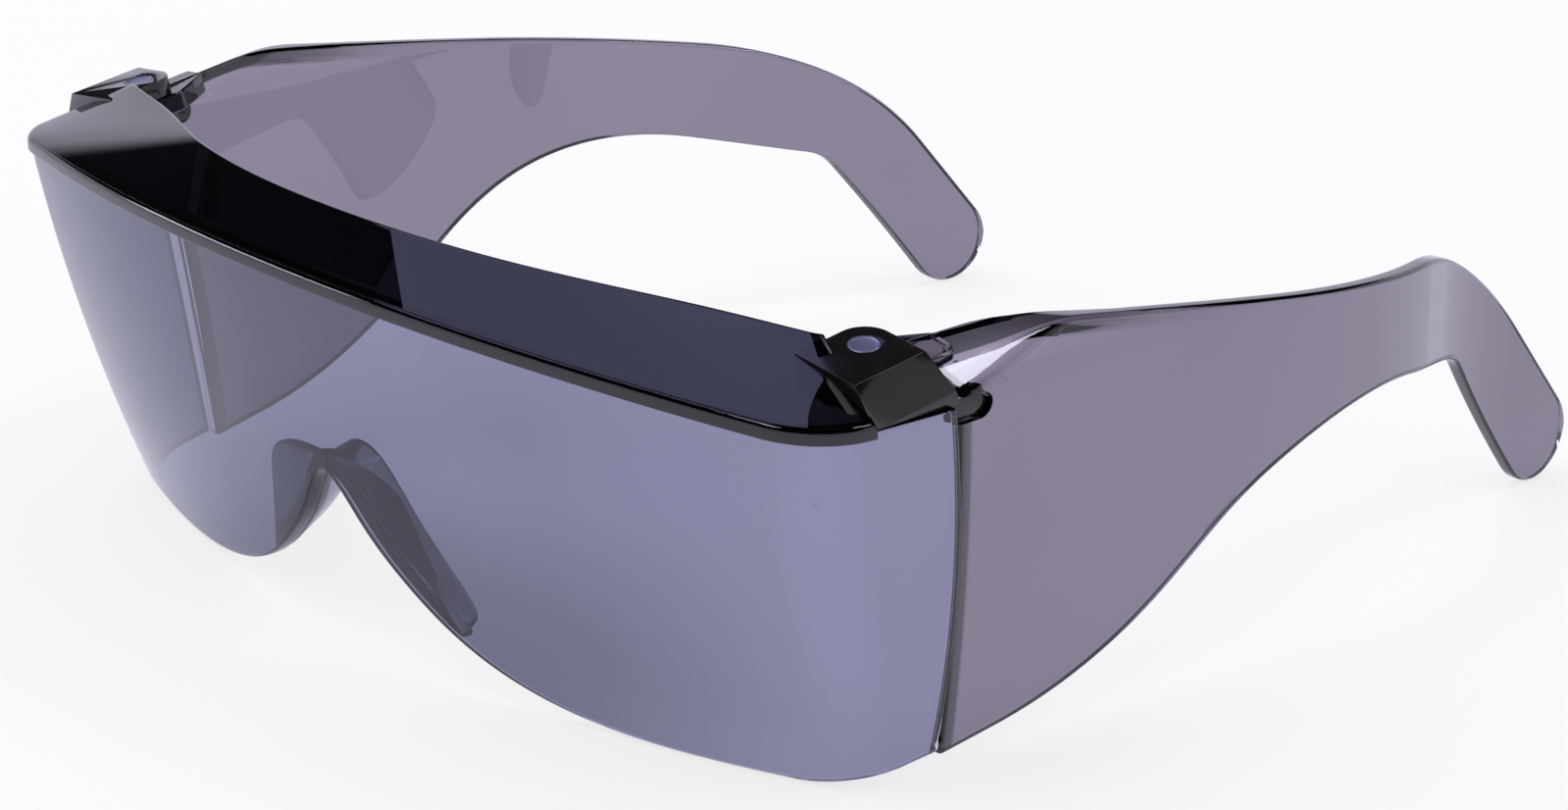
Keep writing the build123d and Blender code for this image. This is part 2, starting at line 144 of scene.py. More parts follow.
sky = add_node(world_tree, "ShaderNodeBackground", None, Color=cooled_white(world_tree, ray),
               Strength=level.outputs["Result"])
add_node(world_tree, "ShaderNodeOutputWorld", None, Surface=sky.outputs[0])
bpy.context.scene.world = world
print("world nodes:", len(world_tree.nodes))

# %% [markdown]
# The floor is a pale round sheet, sampled as rings. Most of its white is its own, so that it reads as the
# white sweep also through the lens, and the rest is lit, so that the sunglasses keep a soft shadow. For
# rays that the plastic bends or mirrors it is darker near the lens's base, as the photo is there: that
# stands in for shade, which a sheet with a light of its own can't show.

# %% Mesh helpers and the floor


def grid_faces(rows, columns, round_rows=False):
    """Quads of a grid whose rows are rings: each joins a point to the next in its row and its column."""
    i, j = np.meshgrid(np.arange(rows if round_rows else rows - 1), np.arange(columns), indexing="ij")
    right = (j + 1) % columns
    above = (i + 1) % rows
    quads = np.stack([i * columns + j, i * columns + right, above * columns + right, above * columns + j], -1)
    return quads.reshape(-1, 4)


def cap_faces(first, columns):
    """Quads across a flat end ring: each pair of points on the outer side is joined to its pair opposite."""
    j = np.arange(columns // 2 - 1)
    return first + np.stack([j, columns - 1 - j, columns - 2 - j, j + 1], -1)


def build_mesh(name, points, faces, thick=None):
    """A mesh object from points in metres and quads, wound so that its volume is above zero.

    If thick is given, it holds one value a point of painted shade, which goes into the U of a UV map of that
    name.
    """
    a, b, c, d = (points[faces[:, k]] for k in range(4))
    volume = np.einsum("ij,ij->i", a, np.cross(b, c)).sum() + np.einsum("ij,ij->i", a, np.cross(c, d)).sum()
    if volume < 0:
        faces = faces[:, ::-1]
    mesh = bpy.data.meshes.new(name)
    mesh.vertices.add(len(points))
    mesh.vertices.foreach_set("co", np.ascontiguousarray(points, dtype=np.float32).ravel())
    mesh.loops.add(faces.size)
    mesh.loops.foreach_set("vertex_index", np.ascontiguousarray(faces, dtype=np.int32).ravel())
    mesh.polygons.add(len(faces))
    mesh.polygons.foreach_set("loop_start", np.arange(0, faces.size, 4, dtype=np.int32))
    mesh.polygons.foreach_set("use_smooth", np.ones(len(faces), dtype=bool))
    if thick is not None:
        spread = np.zeros((faces.size, 2), dtype=np.float32)
        spread[:, 0] = thick[np.ascontiguousarray(faces).ravel()]
        mesh.uv_layers.new(name="thick").data.foreach_set("uv", spread.ravel())
    mesh.update(calc_edges=True)
    mesh.validate()
    piece = bpy.data.objects.new(name, mesh)
    bpy.context.scene.collection.objects.link(piece)
    print(name, len(points), "points", len(faces), "faces")
    return piece


def swept_mesh(name, rings, thick=None):
    """A closed mesh from rings of points in millimetres, one after another, with a flat cap at each end."""
    count, around = rings.shape[:2]
    faces = np.concatenate([
        grid_faces(count, around),
        cap_faces(0, around)[:, ::-1],
        cap_faces((count - 1) * around, around),
    ])
    return build_mesh(name, rings.reshape(-1, 3) * mm, faces, thick)


turn = np.linspace(0, 2 * pi, 73)[:-1]
reach = np.array([0.001, 0.4, 0.8, 1.2, 1.6])
floor_level = -0.2 * mm
floor_rings = np.stack([
    np.outer(reach, np.cos(turn)),
    np.outer(reach, np.sin(turn)),
    np.full((len(reach), len(turn)), floor_level),
], -1)
floor = build_mesh("floor", floor_rings.reshape(-1, 3), grid_faces(len(reach), len(turn)))

# Shares of white that are the sheet's own: seen by the camera, seen in or through plastic, and in the shade
own_light = 0.75
own_light_bent = 0.86
own_light_shaded = 0.52
shade_centre = (0, -0.09, 0)
shade_inner = 30 * mm
shade_outer = 75 * mm

# A matt painted board has no gloss, so it is only diffuse
paint = bpy.data.materials.new("matt_white_board")
paint.use_nodes = True
board = paint.node_tree
board.nodes.clear()
ray = add_node(board, "ShaderNodeLightPath")
seen = add_node(board, "ShaderNodeMath", {"operation": "ADD", "use_clamp": True},
                i0=ray.outputs["Is Camera Ray"], i1=ray.outputs["Is Transmission Ray"])
seen = add_node(board, "ShaderNodeMath", {"operation": "ADD", "use_clamp": True},
                i0=seen.outputs[0], i1=ray.outputs["Is Glossy Ray"])
spot = add_node(board, "ShaderNodeTexCoord")
spot = add_node(board, "ShaderNodeVectorMath", {"operation": "DISTANCE"},
                i0=spot.outputs["Object"], i1=shade_centre)
shaded = add_node(board, "ShaderNodeMapRange", smooth, Value=spot.outputs["Value"],
                  From_Min=shade_inner, From_Max=shade_outer, To_Min=own_light_shaded, To_Max=own_light_bent)
glow = add_node(board, "ShaderNodeMix", {"data_type": "FLOAT"}, Factor=ray.outputs["Is Camera Ray"],
                A=shaded.outputs["Result"], B=own_light)
glow = add_node(board, "ShaderNodeMath", {"operation": "MULTIPLY"},
                i0=seen.outputs[0], i1=glow.outputs["Result"])
shine = add_node(board, "ShaderNodeEmission", None, Color=cooled_white(board, ray), Strength=glow.outputs[0])
lit = add_node(board, "ShaderNodeBsdfDiffuse", None, Color=linear("#8f8f8f"))
both = add_node(board, "ShaderNodeAddShader", None, i0=shine.outputs[0], i1=lit.outputs[0])
add_node(board, "ShaderNodeOutputMaterial", None, Surface=both.outputs[0])
floor.data.materials.append(paint)

# %% [markdown]
# Each soft box is an area lamp that looks at the sunglasses. What matters is how bright its sheet looks,
# because it is seen in the gloss: a lamp's power is that brightness times its area times pi. The
# directions are those in which each surface mirrors the camera's line of sight, so each box lights one
# feature of the photo.

# %% Soft boxes


def soft_box(name, toward, distance, wide, tall, brightness, colour):
    """An area lamp at a distance along a direction from the middle of the sunglasses, facing them."""
    data = bpy.data.lights.new(name, "AREA")
    data.shape = "RECTANGLE"
    data.size = wide
    data.size_y = tall
    data.energy = brightness * wide * tall * pi
    data.color = linear(colour)[:3]
    lamp = bpy.data.objects.new(name, data)
    line = Vector(toward).normalized()
    lamp.location = line * distance
    lamp.rotation_mode = "QUATERNION"
    lamp.rotation_quaternion = (-line).to_track_quat("-Z", "Y")
    bpy.context.scene.collection.objects.link(lamp)
    return lamp


# The blue-grey sheet in the ledge's near half, with its sharp left edge
soft_box("ledge_box", (-0.478, -0.06, 0.876), 1.0, 0.72, 0.5, 1.15, "#c8c8ff")
# The white patch on the facet of the near temple
soft_box("facet_box", (0.29, 0.42, 0.86), 1.2, 0.17, 0.26, 9.0, "#f4f4ff")
# Thin lines of light on rounded edges: along the bead, and round the near corner
soft_box("edge_box", (-0.80, -0.50, 0.33), 1.2, 0.60, 0.20, 6.0, "#eeeeff")
soft_box("corner_box", (-0.10, -0.45, 0.89), 1.2, 0.35, 0.25, 6.0, "#f4f4ff")
# A faint grey over faces that look sideways, such as the near block's
soft_box("rear_box", (0.80, 0.53, 0.45), 1.2, 0.60, 0.40, 0.7, "#f6f0f4")
print("five soft boxes")

# %% [markdown]
# The lens is one moulded wall. Seen from above, its line is a shallow arc across the face, a tight arc
# round each corner and a straight side line. All of these change with height: the top is wider and leans
# forward. It could be a plane bent by modifiers, but a formula keeps the reflections smooth and follows
# the CAD wall's own curves.

# %% Plan curves of the wrapped lens
lens_height = 49.0
lens_wall = 2.2
lens_bulge = 1.24
# The y of the side line's rear end, and how far the hinge frame's zero lies from the middle of the depth
return_depth = 12.4
middle_y = -61.925


def front_y(share):
    """The y of the middle of the front, at a share of the height, without the bulge."""
    return -9.9 - 10.2 * share


def front_arc_radius(share):
    """Radius of the arc across the face, at a share of the height, without the bulge."""
    return 174.0 + 66.0 * share


def side_angle(share):
    """Angle of the side line to the x axis, in radians, at a share of the height."""
    return np.radians(85.4 + 1.9 * share)


def swell_at(share, inset):
    """How far the wall stands out: four times the bulge, the share and one less the share, less the inset."""
    return 4 * lens_bulge * share * (1 - share) - inset


def wrap_point(z, station, inset):
    """Point of the lens's plan at a height, at a station along it, at a depth inside the outer face.

    Every plan value runs straight from its bottom value to its top value, plus the swell. Stations 0 to 1 run
    along the front arc to the fold, 1 to 2 round the corner arc, and past 2 along the side line. Negative
    stations are the mirror.
    """
    share = z / lens_height
    swell = swell_at(share, inset)
    front = front_y(share) - swell
    front_radius = front_arc_radius(share) + swell
    corner_radius = 11.4 - 1.1 * share + swell
    side = side_angle(share)
    half_width = 70.9 + 6.85 * share + swell
    centre_x = half_width - corner_radius * np.sin(side)
    span = front_radius - corner_radius
    centre_y = front + front_radius - np.sqrt(span**2 - centre_x**2)
    fold = np.arcsin(centre_x / span)
    t = np.abs(station)
    along_front = fold * np.minimum(t, 1)
    angle = fold + (side - fold) * np.clip(t - 1, 0, 1)
    along_side = return_depth * np.maximum(t - 2, 0)
    x = np.where(t <= 1, front_radius * np.sin(along_front),
                 centre_x + corner_radius * np.sin(angle) + along_side * np.cos(side))
    y = np.where(t <= 1, front + front_radius * (1 - np.cos(along_front)),
                 centre_y - corner_radius * np.cos(angle) + along_side * np.sin(side))
    return x * np.sign(station + 1e-12), y


def arc_through(first, middle, last):
    """Centre and radius of the circle through three points."""
    rows = np.array([[p[0] - first[0], p[1] - first[1]] for p in (middle, last)])
    sums = np.array([(p[0]**2 - first[0]**2 + p[1]**2 - first[1]**2) / 2 for p in (middle, last)])
    centre = np.linalg.solve(rows, sums)
    return centre, np.hypot(*(centre - first))


# Rear edge of the lens's side as y and z: its low end, its middle and its high end
rear_low = (15.9, 2.0)
rear_share = 0.47
rear_middle = (15.9 - 3.5 * rear_share**2, lens_height * rear_share)
rear_high = (return_depth, 46.1)
edge_centre, edge_radius = arc_through(rear_low, rear_middle, rear_high)
# 1 if the arc lies behind its centre, -1 if in front of it
edge_side = 1 if edge_centre[0] < rear_middle[0] else -1


def rear_edge(z):
    """Rear edge of the lens's side, seen from the side: an arc of a circle through its ends and middle."""
    return edge_centre[0] + edge_side * np.sqrt(edge_radius**2 - (z - edge_centre[1])**2)


print("rear edge arc radius", round(float(edge_radius), 1), "on side", edge_side)

# %% [markdown]
# The lower edge rises over the nose in one smooth curve. A cubic spline runs through eleven points of it.

# %% Edges of the lens
nose_height = 23.8
nose_half_width = 56.0
# Shares of that half width and height, from the top of the opening outwards
half_points = np.array([(0, 1), (0.0955, 0.769), (0.19, 0.525), (0.32, 0.29), (0.56, 0.075), (1, 0)])
half_points = half_points * (nose_half_width, nose_height)
nose_points = np.concatenate([half_points[:0:-1] * (-1, 1), half_points])


def run_length(points):
    """Distance along a line of points, from its first point to each."""
    return np.concatenate([[0], np.cumsum(np.hypot(*np.diff(points, axis=0).T))])


def cubic_through(at, values, place, ends=None):
    """Smooth cubic through pairs of values: its second derivatives solve the usual tridiagonal equations.

    Where ends is given it is the slope at both ends. Otherwise the curve has no bend there.
    """
    steps = np.diff(at)
    size = len(at)
    inner = np.arange(1, size - 1)
    system = np.zeros((size, size))
    system[inner, inner - 1] = steps[:-1]
    system[inner, inner] = 2 * (steps[:-1] + steps[1:])
    system[inner, inner + 1] = steps[1:]
    slopes = np.diff(values, axis=0) / steps[:, None]
    right = np.zeros((size, 2))
    right[inner] = 6 * np.diff(slopes, axis=0)
    if ends is None:
        system[0, 0] = system[-1, -1] = 1
    else:
        system[0, :2] = (2 * steps[0], steps[0])
        right[0] = 6 * (slopes[0] - ends)
        system[-1, -2:] = (steps[-1], 2 * steps[-1])
        right[-1] = 6 * (ends - slopes[-1])
    bend = np.linalg.solve(system, right)
    k = np.clip(np.searchsorted(at, place, side="right") - 1, 0, size - 2)
    h = steps[k][:, None]
    a = (at[k + 1] - place)[:, None] / h
    b = 1 - a
    return a * values[k] + b * values[k + 1] + ((a**3 - a) * bend[k] + (b**3 - b) * bend[k + 1]) * h**2 / 6


def table_values(table, place):
    """Both values of a table at each place, by a smooth cubic through its rows and their mirrored ones."""
    rows = np.concatenate([table[:0:-1] * (-1, -1, 1), table])
    return cubic_through(rows[:, 0], rows[:, 1:], place)


nose_at = run_length(nose_points)
level_end = np.array((1.0, 0.0))
nose_line = cubic_through(nose_at, nose_points, np.linspace(0, nose_at[-1], 1601), level_end)
nose_right = nose_line[800:]


def lens_low(x, y):
    """Height of the lens's lower edge: the nose curve, and a line that rises 2 mm in 13.5 mm at the rear."""
    nose = np.interp(np.abs(x), nose_right[:, 0], nose_right[:, 1])
    return np.maximum(nose, np.maximum(0, (y - 2.4) * 2.0 / 13.5))


def lens_top(x):
    """Height of the lens's top edge, which falls with the square of x, by 2.9 mm at the corners."""
    return lens_height - 2.9 * (x / 77.75) ** 2


print("nose curve runs", round(nose_line[0, 0], 1), "to", round(nose_line[-1, 0], 1), "mm")

# %% [markdown]
# The wall's cross-section is a tall thin rectangle with rounded corners, carried from the rear edge of one
# side to the other. Real moulded edges are never sharp, and the small round is what catches the thin lines
# of light.

# %% The lens


def wall_profile(wall, edge_round, rows):
    """Rounded rectangle as three arrays: share of the height, extra height, and depth inside the outer face.

    The outer side runs up with a quarter circle at each end, and the inner side is its mirror, running down.
    """
    a = np.linspace(0, pi / 2, 6)
    # Rows lie closer together near both edges: 0.6 of a cosine spacing and 0.4 of an even one
    share = (1 - np.cos(np.linspace(0, pi, rows))) / 2
    share = share[1:-1] * 0.6 + np.linspace(0, 1, rows)[1:-1] * 0.4
    rise = edge_round * (1 - np.cos(a))
    fall = edge_round * (1 - np.sin(a))
    v = np.concatenate([np.zeros(6), share, np.ones(6)])
    extra = np.concatenate([rise, edge_round * (1 - 2 * share), -fall])
    depth = np.concatenate([fall, np.zeros(rows - 2), rise])
    depth = np.concatenate([depth, wall - depth[::-1]])
    return np.concatenate([v, v[::-1]]), np.concatenate([extra, extra[::-1]]), depth


def end_pull(distance, edge_round):
    """How far a rounded end draws in at a distance from its tip: a quarter circle."""
    rest = np.clip(edge_round - distance, 0, edge_round)
    return edge_round - np.sqrt(edge_round**2 - rest**2)


def lens_station(u, z, inset):
    """Station for a column: the same up to 2, then stretched so that column 3 is the rear edge."""
    corner_y = wrap_point(z, np.full_like(z, 2.0), inset)[1]
    rear = 2 + (rear_edge(z) - corner_y) / (return_depth * np.sin(side_angle(z / lens_height)))
    return np.sign(u) * np.where(np.abs(u) <= 2, np.abs(u), 2 + (np.abs(u) - 2) * (rear - 2))


def make_lens():
    """The wall's profile at each column, between the lower and the top edge, as one grid.

    The lower edge depends on x and y, and they on the height, so both edges are found in 14 rounds.
    """
    edge_round = 0.5
    # Millimetres from column 2 to column 3, the length of the side, roughly
    side_run = 14
    half = np.concatenate([
        np.linspace(0, 1, 120)[:-1],
        np.linspace(1, 2, 40)[:-1],
        np.linspace(2, 2.94, 24),
        3 - np.array([0.5, 0.33, 0.18, 0.08, 0.02, 0.0]) / side_run,
    ])
    columns = np.concatenate([-half[:0:-1], half])
    v, extra, depth = wall_profile(lens_wall, edge_round, 46)
    u = np.repeat(columns[:, None], len(v), 1)
    distance = (3 - np.abs(u)) * side_run
    pull = end_pull(distance, edge_round)
    inset = np.repeat(depth[None], len(columns), 0)
    inset = lens_wall / 2 + (inset - lens_wall / 2) * (1 - pull / (lens_wall / 2))
    low = np.zeros_like(u)
    top = np.full_like(u, lens_height)
    for _ in range(14):
        low = lens_low(*wrap_point(low, lens_station(u, low, inset), inset))
        top = lens_top(wrap_point(top, lens_station(u, top, inset), inset)[0])
    z = low + v * (top - low) + extra + (1 - 2 * v) * pull
    x, y = wrap_point(z, lens_station(u, z, inset), inset)
    return swept_mesh("lens", np.stack([x, y + middle_y, z], -1))


lens = make_lens()
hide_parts("lens_shield")
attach(lens, "front")

# %% [markdown]
# The brow guard is a bead along the lens's top edge and a ledge that slopes back from it. Its profile
# changes along the way, widest at the corners, and each line of it stops where it meets the hinge block. A
# sweep with a bevelled curve could not change its profile like that, so the profile's corners are worked
# out at every station.

# %% The hinge's plane
pin_place = np.array((69.3, 6.7, 52.45))
pin_axis = np.array((tan(radians(7.6)), -tan(radians(8.5)), 1.0))
pin_axis = pin_axis / np.linalg.norm(pin_axis)
hinge_back = np.cross(pin_axis, (1.0, 0.0, 0.0))
hinge_back = hinge_back / np.linalg.norm(hinge_back)
hinge_out = np.cross(hinge_back, pin_axis)
print("pin axis", pin_axis.round(4))

# %% The brow guard


def corner_arcs(before, here, after, radii, steps):
    """Points of an arc at each corner, from its place and those of its two neighbours.

    The arc starts and ends the same distance away along both sides: its radius times the tangent of half the
    turn. It is a weighted curve of second order, and a circle's arc, as the weight is that half's cosine.
    """
    into = (before - here) / np.linalg.norm(before - here, axis=-1, keepdims=True)
    out = (after - here) / np.linalg.norm(after - here, axis=-1, keepdims=True)
    half_turn = (pi - np.arccos(np.clip((into * out).sum(-1), -1, 1))) / 2
    run = (np.asarray(radii) * np.tan(half_turn))[..., None]
    start = (here + into * run)[..., None, :]
    end = (here + out * run)[..., None, :]
    s = np.linspace(0, 1, steps)[:, None]
    middle = 2 * s * (1 - s) * np.cos(half_turn)[..., None, None]
    top = (1 - s)**2 * start + middle * here[..., None, :] + s**2 * end
    return top / ((1 - s)**2 + middle + s**2)


def round_profile(corners, radii, steps):
    """Closed outline with each corner replaced by an arc, for many profiles at once."""
    arcs = corner_arcs(np.roll(corners, 1, axis=-2), corners, np.roll(corners, -1, axis=-2), radii, steps)
    return arcs.reshape(*corners.shape[:-2], -1, corners.shape[-1])


def ledge_corners(station):
    """Corners of bead and ledge at each station: lip, bead, start, rear, rear under, knee and lens's back."""
    bead_out = 0.35
    bead_inner = 0.175
    ledge_depth = 12.6
    ledge_wall = 1.8
    ledge_rise = 6.4
    ledge_fall = tan(radians(9.1))
    # Straight up, and as long as the bead stands above and below the lens's top edge
    up = np.array((0.0, 0.0, 1.0))
    # Station, and the ledge's run in x and y as shares of its depth
    table = np.array([(0, 0, .484), (.25, -.048, .54), (.5, -.08, .738), (.75, -.2, .99), (1, -.43, .98),
                      (1.4, -.635, .905), (1.8, -.78, .76), (2.2, -.85, .4)])
    curve = table_values(table, station)
    x, y = wrap_point(np.full_like(station, lens_height), station, 0.0)
    x, y = wrap_point(lens_top(x), station, 0.0)
    lip = np.stack([x, y, lens_top(x)], -1)
    rear_xy = lip[:, :2] + curve * ledge_depth
    # The rear edge falls evenly towards the rear, from its height in the middle
    fall = ledge_fall * (rear_xy[:, 1] - front_y(1) - table[0, 2] * ledge_depth)
    rear = np.concatenate([rear_xy, (lens_height + up[2] + ledge_rise - fall)[:, None]], 1)
    inward = np.concatenate([curve, np.zeros((len(x), 1))], 1)
    inward /= np.linalg.norm(inward, axis=1, keepdims=True)
    start = lip + up
    run = (rear - start) / np.linalg.norm(rear - start, axis=1, keepdims=True)
    level_run = (run * inward).sum(1, keepdims=True)
    under = (inward * run[:, 2:] - up * level_run) * ledge_wall
    knee = start + under
    knee = knee + run * ((lens_wall - ((knee - lip) * inward).sum(1, keepdims=True)) / level_run)
    return np.stack([
        lip - inward * bead_out - up,
        start - inward * bead_out,
        start + inward * bead_inner,
        rear,
        rear + under,
        knee,
        lip + inward * lens_wall - up,
    ], 1)


def make_brow():
    """Rounded profiles at fine stations. Each lengthwise line is then cut where it reaches the block."""
    radii = (0.3, 0.8, 0.2, 0.55, 0.4, 1.0, 0.3)
    last_station = 2.2
    stations = np.linspace(-last_station, last_station, 1761)
    lines = round_profile(ledge_corners(stations), radii, 6)
    # The block begins 3.7 mm inwards and 6.8 mm in front of the pin
    from_pin = lines * np.where(lines[..., :1] < 0, (-1, 1, 1), (1, 1, 1)) - pin_place
    inside = ((from_pin @ hinge_out) > -3.7) & ((from_pin @ hinge_back) > -6.8)
    middle = len(stations) // 2
    last = np.argmax(inside[middle:], axis=0)
    last = np.where(last == 0, middle, last) - 1
    end = stations[middle + last]
    share = np.sin(np.linspace(-pi / 2, pi / 2, 301)) * 0.35 + np.linspace(-1, 1, 301) * 0.65
    wanted = share[:, None] * end[None]
    place = (wanted + last_station) / (stations[1] - stations[0])
    k = np.clip(place.astype(int), 0, len(stations) - 2)
    b = (place - k)[..., None]
    j = np.arange(lines.shape[1])[None]
    rings = lines[k, j] * (1 - b) + lines[k + 1, j] * b
    rings[..., 1] += middle_y
    return swept_mesh("brow", np.roll(rings, 3, axis=1))


brow = make_brow()
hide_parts("brow_guard")
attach(brow, "front")

# %% [markdown]
# The temple is a deep side shield that tapers to a round tip. Its outline, seen from the side, is a chain
# of straight lines with rounded corners. A spline would wave between its points, and these lines stay
# fair.

# %% Outline of the temple


def rounded_line(corners, radii, steps):
    """Open line through corners, each inner one replaced by an arc of its radius."""
    corners = np.asarray(corners, dtype=float)
    arcs = corner_arcs(corners[:-2], corners[1:-1], corners[2:], radii, steps)
    return np.concatenate([corners[:1], arcs.reshape(-1, 2), corners[-1:]])


tip_radius = 6.3
tip_centre = np.array((138.0, tip_radius))
arm_height = 52.5


def touch_point(point, side):
    """Where a line from a point touches the round tip, on its left (1) or right (-1)."""
    line = tip_centre - point
    length = np.hypot(*line)
    share = tip_radius / length
    along, across = -share * tip_radius, side * tip_radius * sqrt(1 - share**2)
    return tip_centre + (line * along + np.array((-line[1], line[0])) * across) / length


def tip_arc(touch):
    """Points round the tip from where an edge touches it to its rearmost point."""
    angle = np.linspace(np.arctan2(*(touch - tip_centre)[::-1]), 0, 60)
    return tip_centre + tip_radius * np.stack([np.cos(angle), np.sin(angle)], 1)


top_corners = np.array([(0.188, 0.997), (0.868, 0.716)]) * (tip_centre[0], arm_height)
low_corners = np.array([(0.846, 0.434), (0.55, 0.617), (0.285, 0.101)]) * (tip_centre[0], arm_height)
tip_top = touch_point(top_corners[-1], 1)
tip_low = touch_point(low_corners[0], -1)
top_line = rounded_line([(0, 50.2), *top_corners, tip_top], (50, 52), 60)
low_line = rounded_line([(0, -2.0), *low_corners[::-1], tip_low], (63, 49, 8), 60)
top_line = np.concatenate([top_line, tip_arc(tip_top)])
low_line = np.concatenate([low_line, tip_arc(tip_low)])
print("temple reaches y", tip_centre[0] + tip_radius)

# %% [markdown]
# Seen from above, the temple runs straight back, bends inwards past the ear and straightens. It leans
# outwards at the front and stands upright in about its last third. Near the hinge a flat facet carries on
# the outer face of the block, so the outer surface is the smaller of three surfaces at each point, blended
# so that the edges are soft.

# %% Surfaces of the temple
plan = rounded_line([(0, 74.417), (86.8, 75.0), (120.2, 58.2), (160, 55.04)], (82.2, 59.2), 80)
plan_y = np.linspace(0, 160, 1601)
plan_x = np.interp(plan_y, plan[:, 0], plan[:, 1])
plan_slope = np.gradient(plan_x, plan_y)


def ease(share):
    """Smooth step of a share from 0 to 1: three times its square less twice its cube."""
    return share * share * (3 - 2 * share)


def soft_smaller(a, b, blend):
    """Smaller of two arrays, with a parabola between them where they differ by less than the blend."""
    near = np.clip(1 - np.abs(a - b) / blend, 0, 1)
    return np.minimum(a, b) - near**2 * blend / 4


def plane_x(y, z, corners):
    """The x of the plane through three points, at each y and z."""
    first, second, third = np.asarray(corners, dtype=float)
    normal = np.cross(second - first, third - first)
    return first[0] - (normal[1] * (y - first[1]) + normal[2] * (z - first[2])) / normal[0]


def wall_x(y, z):
    """Plan line plus the lean, which falls evenly up to y 67 and then in a parabola that ends at y 106.6."""
    rest = np.clip((106.6 - y) / (106.6 - 67.0), 0, None)
    lean = 0.146 * np.where(y < 67.0, (86.8 - y) / 74.4, 0.2661 * rest**2)
    return np.interp(y, plan_y, plan_x) + (z - lens_height / 2) * lean


facet_points = [(75.7, 10.5, 52.5), (77.74, 14.1, 46.7), (76.2, 46.0, 47.8)]
slope_points = [(73.4, 17.0, 50.3), (75.7, 28.0, 50.8), (77.74, 14.1, 46.7)]


def outer_x(y, z):
    """Outer face of the temple: the leaning wall, cut by the facet and by the slope at its front."""
    wall = wall_x(y, z)
    facet = plane_x(y, z, facet_points)
    slope = plane_x(y, z, slope_points)
    return soft_smaller(soft_smaller(wall, facet, 0.7), slope, 1.2)


def arm_inner_x(y, front):
    """Inner face of the arm: a quarter round at its front, a straight run, then an arc out to the wall.

    The arc is a parabola: its bend times the run times what is left of the run. Past it a steep line follows.
    """
    corner_radius = 3.4
    arc_start = 17.4
    arc_run = 34
    corner = corner_radius - np.clip(y - front, 0, corner_radius)
    x = 73.2 - np.sqrt(corner_radius**2 - corner**2)
    run = np.clip(y - arc_start, 0, arc_run)
    past = np.clip(y - arc_start - arc_run, 0, None)
    return x + run * 0.1353 + 0.00173 * run * (arc_run - run) + past * 0.3


def temple_front(z, inner):
    """Front edge: a gap behind the lens, above it one behind the block, less sloping on its inner side."""
    block = 10.85 + (arm_height - z) * (0.509 - 0.36 * inner)
    return np.where(z > 46.5, block, rear_edge(np.minimum(z, rear_high[1])) + 1.0)


def crown_drop(y):
    """How much lower the outer edge of the arm's top is than its inner edge: 1.45 mm, none from y 35 on."""
    return 1.45 * (1 - ease(np.clip((y - 20.0) / 15.0, 0, 1)))


print("outer x at the front, low and high", outer_x(20.0, 5.0).round(2), outer_x(20.0, 50.0).round(2))
